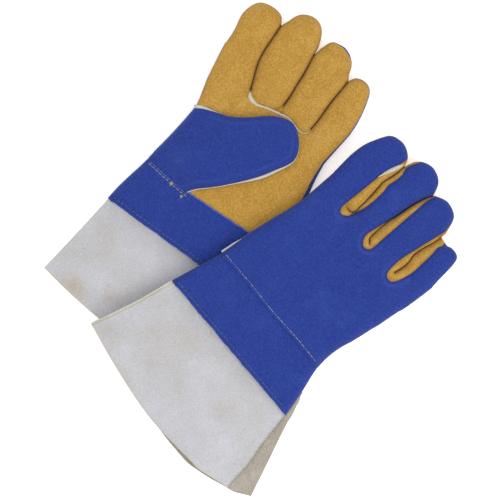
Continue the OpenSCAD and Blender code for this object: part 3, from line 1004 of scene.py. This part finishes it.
def build_band(glove):
    over = BAND_OVER[glove.side]

    def side(sign):
        path = glove.side_path(sign, BAND_LOW, wrist_line(glove, sign * 70) + over)
        above = path[:, 1] - wrist_line(glove, path[:, 0])
        return offset(path, 0.2 + 1.0 * smoothstep(0, 1.5, above))

    thumb_side, little_side = side(-1), side(1)
    xs = np.linspace(thumb_side[-1, 0], little_side[0, 0], 90)
    ys = wrist_line(glove, xs) + over
    ys += 0.35 * wobble(np.column_stack([xs, ys]), 6, 5.5) * (over == 0)
    ys[0], ys[-1] = thumb_side[-1, 1], little_side[0, 1]
    top_end = np.column_stack([xs, ys])
    xs = np.linspace(little_side[-1, 0], thumb_side[0, 0], 120)
    raw = np.column_stack([xs, np.full(len(xs), 0.5 * (little_side[-1, 1] + thumb_side[0, 1]))])
    uneven = 0.5 * wobble(raw, 9, 1.3) + 0.35 * wobble(raw, 3.5, 4.4)
    raw[:, 1] += smoothstep(0, 5, from_ends(xs)) * uneven
    raw[0, 1], raw[-1, 1] = little_side[-1, 1], thumb_side[0, 1]
    plan = Plan([(thumb_side, True), (top_end, False), (little_side, True), (raw, False)])
    xy, edge = plan.xy, plan.edge
    above = xy[:, 1] - wrist_line(glove, xy[:, 0])
    row = np.array([(-90, BAND_ROW), (90, BAND_ROW)])
    ridge = groove(xy, row, 0.35, 1.0)
    under = mixed(0.4, 1.6, smoothstep(-14, -1.5, above)) * rounded(edge, 5)
    upper, lower = upper_height(glove, xy, edge), lower_height(edge)
    if glove.left:
        xs = np.linspace(-70, -20, 20)
        sewn = sum(groove(xy, np.column_stack([xs, sewn_y(glove, xs, number)]), 0.35, 1.1)
                   for number in (0, 1))
        upper, lower = upper - (ridge + sewn) * rounded(edge, 5), lower + under
    else:
        upper -= under + ridge * rounded(edge, 5)
    surface = shell(plan, glove, upper, lower)
    # Paler cut edge along the raw lower edge, and painted shade along the sunk row of stitches.
    tone = groove(xy, raw, 0.5, 0.7) - groove(xy, row, 0.35, 0.8)
    surface.tone = np.concatenate([tone, tone])
    palm = on_palm_side(glove, plan)
    leather(glove, "wrist_band_back", surface, ~palm, BLUE_SET, "hand", "blue_leather")
    leather(glove, "wrist_band_palm", surface, palm, BLUE_SET, "hand", "blue_leather")
    everything = np.ones(len(palm), bool)
    lining(glove, "wrist", surface, everything, "hand", LINING_INSET + LEATHER, replaced=False)
    return surface


def sewn_y(glove, x, number):
    """Height of one of the two rows of stitches that hold the thumb's base to the wristband."""
    return wrist_line(glove, x) - 1.4 - 2.0 * number


# ---------------------------------------------------------------- cuff

CUFF_LOW = -142.0        # where the cuff's seam is at its lowest
CORNER_CLEAR = 15.0      # CAD points this near to a corner below give way to it
END_CORNERS = {          # the end of the right cuff's open side
    "cuff_palm": (124.3, -126.3),
    "cuff_back": (102.6, -138.0),
}


def cuff_seam(y):
    """Height of the cuff's side seam."""
    return mixed(6.6, 3.8, smoothstep(BAND_LOW, CUFF_LOW, y))


def section(loop, start, stop):
    """Part of a closed loop from one of its points to another."""
    turned = np.roll(loop, -start, axis=0)
    return turned[:(stop - start) % len(loop) + 1]


def cuff_plan(glove, node, flare, setback):
    """A cuff piece's plan: thumb side, top under the band, open side and open end."""
    loop = glove.outline(node)
    x, y = loop[:, 0], loop[:, 1]
    end_thumb = int(np.argmin(x + 0.2 * y))
    end_vent = int(np.argmax(x - 0.6 * y))
    covered = y > BAND_LOW + 6
    top_thumb = int(np.argmin(np.where(covered, x, 1e9)))
    top_vent = int(np.argmax(np.where(covered, x, -1e9)))
    thumb = resampled(section(loop, end_thumb, top_thumb), 2.0)
    thumb = offset(thumb, setback)
    top_points = section(loop, top_thumb, top_vent)
    vent_points = section(loop, top_vent, end_vent)
    if flare:
        top_points = np.vstack([top_points[:1], [(-60, -44.5), (60, -44.5), (72, -40), (79.8, -25)]])
        vent_points = np.vstack([top_points[-1:], [(93, -55), (108, -89), END_CORNERS[node]]])
    elif not glove.left:
        clear = np.linalg.norm(vent_points - END_CORNERS[node], axis=1) > CORNER_CLEAR
        vent_points = np.vstack([vent_points[clear], [END_CORNERS[node]]])
    top = resampled(top_points, 2.2)
    vent = resampled(vent_points, 2.0)
    end_points = section(loop, end_vent, end_thumb)
    if not glove.left:
        clear = np.linalg.norm(end_points - END_CORNERS[node], axis=1) > CORNER_CLEAR
        end_points = np.vstack([[END_CORNERS[node]], end_points[clear]])
    end = resampled(end_points, 2.0)
    share = np.clip((end[:, 0] - 12) / 105, 0, 1)
    longer = 3.6 if "palm" in node else 0.0
    end = offset(end, -longer * np.sin(math.pi * share) ** 1.3)
    vent += 0.25 * np.column_stack([wobble(vent, 8, 6.6), np.zeros(len(vent))])
    vent[0], vent[-1] = top[-1], end[0]
    top[0], end[-1] = thumb[-1], thumb[0]
    return Plan([(thumb, True), (top, False), (vent, False), (end, False)], rings=(1.2, 2.6)), vent, end


def build_cuff(glove):
    order = ("cuff_palm", "cuff_back") if glove.left else ("cuff_back", "cuff_palm")
    for number, node in enumerate(order):
        flare = node == "cuff_palm" and not glove.left
        setback = 2.3 if node == "cuff_back" and not glove.left else 0.0
        plan, vent, end = cuff_plan(glove, node, flare, setback)
        xy, from_thumb = plan.xy, plan.edge
        seam = cuff_seam(xy[:, 1])
        low = mixed(seam - 2.1, 0.1, smoothstep(0, 12, from_thumb))
        in_hand = inside(xy, glove.edge)
        to_side = np.where(in_hand, distance_to(xy, glove.edge), 0)
        free = smoothstep(BAND_LOW + 1, BAND_LOW - 26, xy[:, 1])
        crown = mixed(12.8, 9.6, smoothstep(BAND_LOW, CUFF_LOW, xy[:, 1]))
        crown += 0.7 * wobble(xy, 45, 9.1) * free
        high = mixed(seam + 2.1, crown, smoothstep(-3, 30, from_thumb))
        from_vent = distance_to(xy, vent)
        high = mixed(low + 4.0, high, smoothstep(-4, 46, from_vent))
        in_band_high = upper_height(glove, xy, to_side) - (1.7 if glove.left else 3.0)
        in_band_low = lower_height(to_side) + (2.6 if glove.left else 1.7)
        in_band_low = np.minimum(in_band_low, EQUATOR - 0.5)
        high = mixed(np.maximum(in_band_high, EQUATOR + 1.2), high, free)
        beyond = np.where(in_hand, 0, smoothstep(0, 4, distance_to(xy, glove.edge)))
        low = mixed(mixed(in_band_low, 2.0, beyond), low, free)
        surface = sheet(plan, glove, high if number == 0 else low, up=number == 0)
        # Paler cut fibres along the cut end and the thumb edge; painted shade along the open side of
        # the upper piece.
        surface.tone = 0.75 * bell(np.minimum(distance_to(xy, end), from_thumb), 0.8)
        surface.tone -= 0.35 * bell(from_vent, 0.8) if number == 0 else 0
        leather(glove, node, surface, np.ones(len(plan.faces), bool), HIDE_SET, "hand", "cuff_leather")
        edge_path = plan.seams[0]
    path = edge_path[edge_path[:, 1] < BAND_LOW + 4]
    height = cuff_seam(path[:, 1]) + 0.55
    made = strip(f"{glove.side}_cuff_welt_strip", path, 0.4, 5.0,
                 lambda xy, rise: glove.place(xy, height + rise), WELT, thickness=1.1, dome=0.1)
    attach(made, glove, "hand", "welt", "cuff_welt")


# ---------------------------------------------------------------- thumb

THUMB_BEND = 26.0        # end point that attach() works out this far beyond the thumb's hinge line; no bend is made
THUMB_RISE = 10.2        # depth of the thumb above the leather at its root
THUMB_SEAM = 0.42        # height of the thumb's seam, as a share of its depth
THUMB_GAP = 0.3          # between the thumb's leather and the palm
LINED_DEPTH = 5.5        # the lining goes only where the thumb is deeper than this


def thumb_paths(glove):
    """The thumb's base along the hand's edge, and its free edge round the tip."""
    wrist = wrist_line(glove, -70)
    base = glove.side_path(-1, wrist - 3.5, 65.5)
    above = base[:, 1] - wrist
    base = offset(base, 0.9 - 0.9 * smoothstep(-1, 2, above) - 0.5 * smoothstep(2, 12, above))
    loop = glove.outline("thumb_back", glove.left)
    reach = (loop - glove.thumb_hinge) @ glove.thumb_out
    root = reach < 2.1
    start = int(np.argmax(np.where(root, loop[:, 1], -1e9)))
    free = np.roll(loop, -start, axis=0)
    reach = np.roll(reach, -start)
    free = free[reach > 4]
    free = np.vstack([base[-1:], [(-54.5, 70.0)], free, [(-14.5, 5.5), (-20.5, -1.5), (-23.5, -6.5)]])
    return base, resampled(free, 1.6)


def thumb_depths(glove, xy, base):
    """Height of the palm, the thumb's depth above it, and how far its sewn-down base is pressed in."""
    to_edge = np.where(inside(xy, glove.edge), distance_to(xy, glove.edge), 0)
    palm = upper_height(glove, xy, to_edge) if glove.left else lower_height(to_edge)
    from_base = distance_to(xy, base)
    above = xy[:, 1] - wrist_line(glove, xy[:, 0])
    sewn = smoothstep(0.5, 9, above)
    ramp = smoothstep(3, 42, from_base) * smoothstep(0, 20, above)
    depth = 1.5 * rounded(from_base, 3) + THUMB_RISE * ramp
    depth += 0.35 * wobble(xy, 30, 4.2) * ramp
    return palm, depth, 1.9 * (1 - sewn) * rounded(from_base, 6)


def build_thumb(glove):
    base, free = thumb_paths(glove)
    closing = resampled([free[-1], (-45, -5.5), base[0]], 2.0)
    plan = Plan([(base, True), (free, True), (closing, False)], rings=(0.35, 1.2, 2.6, 4.6, 6.0))
    xy = plan.xy
    palm, depth, sewn = thumb_depths(glove, xy, base)
    from_free = distance_to(xy, free)
    room = np.maximum(depth - THUMB_GAP, 0.0)
    crown = THUMB_GAP + room * (THUMB_SEAM + (1 - THUMB_SEAM) * rounded(from_free, 9, 2.1)) - sewn
    under = THUMB_GAP + room * THUMB_SEAM * (1 - rounded(from_free, 6)) - sewn
    seam_line = bell(from_free - 6.0, 0.8)
    crown -= 0.18 * seam_line * smoothstep(12, 30, distance_to(xy, base))
    if glove.left:
        top, bottom = palm + crown, palm + under
    else:
        top, bottom = palm - under, palm - crown
    surface = shell(plan, glove, top, bottom)
    tone = 0.45 * seam_line * smoothstep(8, 25, distance_to(xy, base))
    surface.tone = np.concatenate([tone, tone])
    crown_faces = on_palm_side(glove, plan)
    beyond = np.tile((plan.centres - glove.thumb_hinge) @ glove.thumb_out > -5, 2)
    deep = np.tile(depth[plan.faces].min(1) > LINED_DEPTH, 2)
    leather(glove, "thumb_back", surface, crown_faces, BLUE_SET, "thumb", "blue_leather")
    leather(glove, "thumb_front", surface, ~crown_faces & beyond, GOLD_SET, "thumb", "gold_leather")
    lining(glove, "thumb", surface, beyond & deep, "thumb")

    def lay(points, rise):
        palm, depth, sewn = thumb_depths(glove, points, base)
        height = THUMB_GAP + np.maximum(depth - THUMB_GAP, 0) * THUMB_SEAM - sewn + 0.25 + rise
        return glove.place(points, palm + height if glove.left else palm - height)

    run = length_along(free)
    share = run / run[-1]
    upper_root = 3.2 * (1 - smoothstep(0, 26, run)) if glove.left else 0.0
    lower_side = 2.0 * bell(share - 0.66, 0.10)
    lower_side += 0.45 * smoothstep(0.6, 0.7, share) + smoothstep(0.965, 0.99, share)
    hidden = 0.15 + 1.2 * smoothstep(8, 34, run) * smoothstep(run[-1] - 4, run[-1] - 26, run)
    made = strip(f"{glove.side}_thumb_welt_strip", free, 0.05 + upper_root + lower_side, hidden,
                 lay, WELT, thickness=glove.palm_up, dome=0.2 * glove.palm_up)
    attach(made, glove, "thumb", "welt", "thumb_welt")


# ---------------------------------------------------------------- welts, cut edges and stitches

def build_trims(glove, hand, band):
    side = glove.side
    lay = layer_on(glove, [hand, band])
    if glove.left:
        seam = resampled(TWO_FINGER_SEAM, 1.0)
        lower = tapered(seam, ((0, 0.3), (0.05, 3.3), (0.12, 3.3), (0.18, 2.0), (0.25, 1.5), (0.5, 1.6),
                               (0.62, 0.9), (0.8, 0.7), (0.92, 0.45), (1, 0.3)))
        made = strip(f"{side}_palm_welt_strip", seam, 0.3, lower, lambda p, rise: lay(p, rise + 0.35),
                     WELT, dome=0.3)
        attach(made, glove, "hand", "welt")
        xs = np.linspace(-20, 62, 70)
        path = np.column_stack([xs, wrist_line(glove, xs) + 0.2])
        path[:, 1] += 0.35 * wobble(path, 6, 5.5)
        made = strip(f"{side}_band_cut_edge", path, 0.9, 0.5, lambda p, rise: glove.place(
            p, upper_height(glove, p, distance_to(p, glove.edge)) + rise - 0.1), BLUE_RAW, dome=0.1)
        attach(made, glove, "hand", "blue_leather")
    else:
        seam = resampled(INDEX_WELT, 1.0)
        width = tapered(seam, ((0, 0.2), (0.3, 2.2), (0.6, 3.6), (0.85, 3.4), (1, 1.3)))
        made = strip(f"{side}_index_welt_strip", seam, 0.1, width, lambda p, rise: lay(p, rise + 0.25),
                     WELT, dome=0.35)
        attach(made, glove, "index", "welt")
        path = glove.side_path(-1, 0, 25)
        width = tapered(path, ((0, 1.6), (0.6, 1.3), (1, 0.1)))
        made = strip(f"{side}_wrist_welt_strip", path, width, 1.0,
                     lambda p, rise: glove.place(p, EQUATOR + 0.5 + rise), WELT)
        attach(made, glove, "hand", "welt")


THREAD_RADIUS = 0.22
HALF_STITCH = (1.95, 0.3)              # half a stitch's length, and how much of it is by chance
STITCH_LEAN = 0.25
BAND_MIDDLE = -30.0                    # the row below this holds the band to the cuff
BETWEEN_ROWS = {"left": -4.5, "right": 3.0}     # between the two rows at the band's upper edge


def stitch_spots(glove):
    """The rows of stitches of the CAD node: the middles' x, and y."""
    mesh = frame["nodes"][f"{glove.side}_stitching"].data
    co = glove.to_own(np.array([v.co for v in mesh.vertices]) / MM)
    co = co[np.argsort(co[:, 1], kind="stable")]
    rows = []
    for row in np.split(co, np.nonzero(np.diff(co[:, 1]) > 1.0)[0] + 1):
        xs = np.sort(row[:, 0])
        ends = np.array([part.mean() for part in np.split(xs, np.nonzero(np.diff(xs) > 0.9)[0] + 1)])
        middles = 0.5 * (ends[:-1] + ends[1:])[::2]
        rows.append((middles, 0.5 * (row[0, 1] + row[-1, 1])))
    return rows


def build_stitches(glove, surfaces):
    lay = layer_on(glove, surfaces)
    chance = random.Random(7 if glove.left else 11)
    runs = {"pale": [], "yellow": [], "faded": [], "dull": []}
    for xs, y in stitch_spots(glove):
        for x in xs:
            draw = chance.random()
            number = int(y <= BETWEEN_ROWS[glove.side])
            if y < BAND_MIDDLE:
                middle_y, colour = y - 0.6, "dull"
            elif glove.left:
                middle_y, colour = sewn_y(glove, x, number), ("pale", "yellow")[number]
            else:
                bunched = 0.7 * math.exp(-((x + 5) / 30) ** 2)
                middle_y = wrist_line(glove, x) + 3.1 - bunched - (1.9 - 1.3 * bunched) * number
                colour = "faded" if draw < 0.6 else "yellow"
            half = HALF_STITCH[0] + HALF_STITCH[1] * chance.random()
            lean = STITCH_LEAN * (chance.random() - 0.5)
            shares = np.linspace(-1, 1, 7)
            path = np.column_stack([x + half * shares, middle_y + lean * shares])
            rise = 0.08 - 0.45 * shares ** 4
            runs[colour].append(lay(path) + rise[:, None] * glove.axes[2])
    if glove.left:
        runs["yellow"] += knot(lay, chance, (-38.5, -5.6), 1.3, 7)
        runs["yellow"] += knot(lay, chance, (-23.5, -9.2), 0.9, 4)
    for colour, material in (("pale", FADED_THREAD), ("yellow", YELLOW_THREAD), ("faded", FADED_THREAD),
                             ("dull", DULL_THREAD)):
        if runs[colour]:
            made = threads(f"{glove.side}_{colour}_stitches", runs[colour], THREAD_RADIUS, material)
            nodes = ["stitching"] if colour == "yellow" else []
            attach(made, glove, "hand", "thread", *nodes)


def knot(lay, chance, spot, radius, loops):
    """A small tuft of tangled thread on the surface, with one loose tail."""
    runs = []
    for number in range(loops):
        turn, size = chance.random() * 6.3, radius * (0.45 + 0.55 * chance.random())
        angles = np.linspace(0, 4.6, 11) + turn
        centre = np.asarray(spot) + 0.5 * radius * np.array([math.cos(3 * turn), math.sin(2 * turn)])
        ring = np.column_stack([size * np.cos(angles), size * np.sin(angles)])
        ground = lay(centre + ring)
        ground[:, 2] += 0.25 + 0.22 * number * np.abs(np.sin(angles + number))
        runs.append(ground)
    shares = np.linspace(0, 1, 9)[:, None]
    tail = np.asarray(spot) + shares * np.array([0.4, -2.6])
    runs.append(lay(tail) + np.array([0, 0, 0.2]))
    return runs


# ---------------------------------------------------------------- camera, lights and floor

CAMERA_TURN = math.radians(40)
CAMERA_HEIGHT = 2.4
GLOVE_TOP = 0.015        # the height at which the view is VIEW_WIDTH wide
VIEW_WIDTH = 0.4725
VIEW_CENTRE = (-0.0017, -0.0089)


def stage():
    scene = bpy.context.scene
    right = Vector((math.sin(CAMERA_TURN), math.cos(CAMERA_TURN), 0))
    up = Vector((-math.cos(CAMERA_TURN), math.sin(CAMERA_TURN), 0))
    data = bpy.data.cameras.new("camera")
    camera = bpy.data.objects.new("camera", data)
    scene.collection.objects.link(camera)
    data.lens = data.sensor_width * (CAMERA_HEIGHT - GLOVE_TOP) / VIEW_WIDTH
    data.clip_end = 20
    camera.matrix_world = Matrix((
        (right.x, up.x, 0, VIEW_CENTRE[0]), (right.y, up.y, 0, VIEW_CENTRE[1]),
        (0, 0, 1, CAMERA_HEIGHT), (0, 0, 0, 1)))
    scene.camera = camera
    scene.view_settings.view_transform = "Standard"
    mesh = bpy.data.meshes.new("floor")
    mesh.from_pydata([(-3, -3, 0), (3, -3, 0), (3, 3, 0), (-3, 3, 0)], [], [(0, 1, 2, 3)])
    floor = bpy.data.objects.new("floor", mesh)
    floor.location.z = -0.0004
    scene.collection.objects.link(floor)
    material = bpy.data.materials.new("floor")
    material.use_nodes = True
    for socket, value in (("Base Color", (0.93, 0.93, 0.93, 1)), ("Roughness", 0.9),
                          ("Emission Color", (1, 1, 1, 1)), ("Emission Strength", 0.4)):
        material.node_tree.nodes["Principled BSDF"].inputs[socket].default_value = value
    mesh.materials.append(material)
    for name, spot, size, power in (
            ("key", (1.3, 0.15, 1.5), 1.2, 15), ("fill", (-1.0, -0.3, 1.9), 1.6, 6),
            ("top", (0, 0, 2.6), 2.2, 10)):
        light = bpy.data.lights.new(name, "AREA")
        light.size, light.energy = size, power
        lamp = bpy.data.objects.new(name, light)
        lamp.location = spot
        lamp.rotation_euler = Vector(spot).to_track_quat("Z", "Y").to_euler()
        scene.collection.objects.link(lamp)
    world = bpy.data.worlds.new("world")
    world.use_nodes = True
    background = world.node_tree.nodes["Background"]
    background.inputs["Color"].default_value = (1, 1, 1, 1)
    background.inputs["Strength"].default_value = 0.7
    scene.world = world


HAND_TOP, CUFF_TOP, THUMB_TOP = 16.9, 13.4, 13.0     # of what the right glove lies on


def find_supports(left, right):
    """What the right glove lies on, as outlines in its own frame and heights above the table."""
    def seen(path):
        return right.to_own(left.to_row(np.column_stack([path, np.zeros(len(path))])))[:, :2]

    _, thumb = thumb_paths(right)
    right.supports = [(seen(left.edge[::3]), HAND_TOP), (seen(left.outline("cuff_back")), CUFF_TOP),
                      (thumb[::3], THUMB_TOP)]


stage()
left, right = Glove("left"), Glove("right")
find_supports(left, right)
for glove in (left, right):
    hand = build_hand(glove)
    band = build_band(glove)
    build_cuff(glove)
    build_thumb(glove)
    build_trims(glove, hand, band)
    build_stitches(glove, [hand, band])
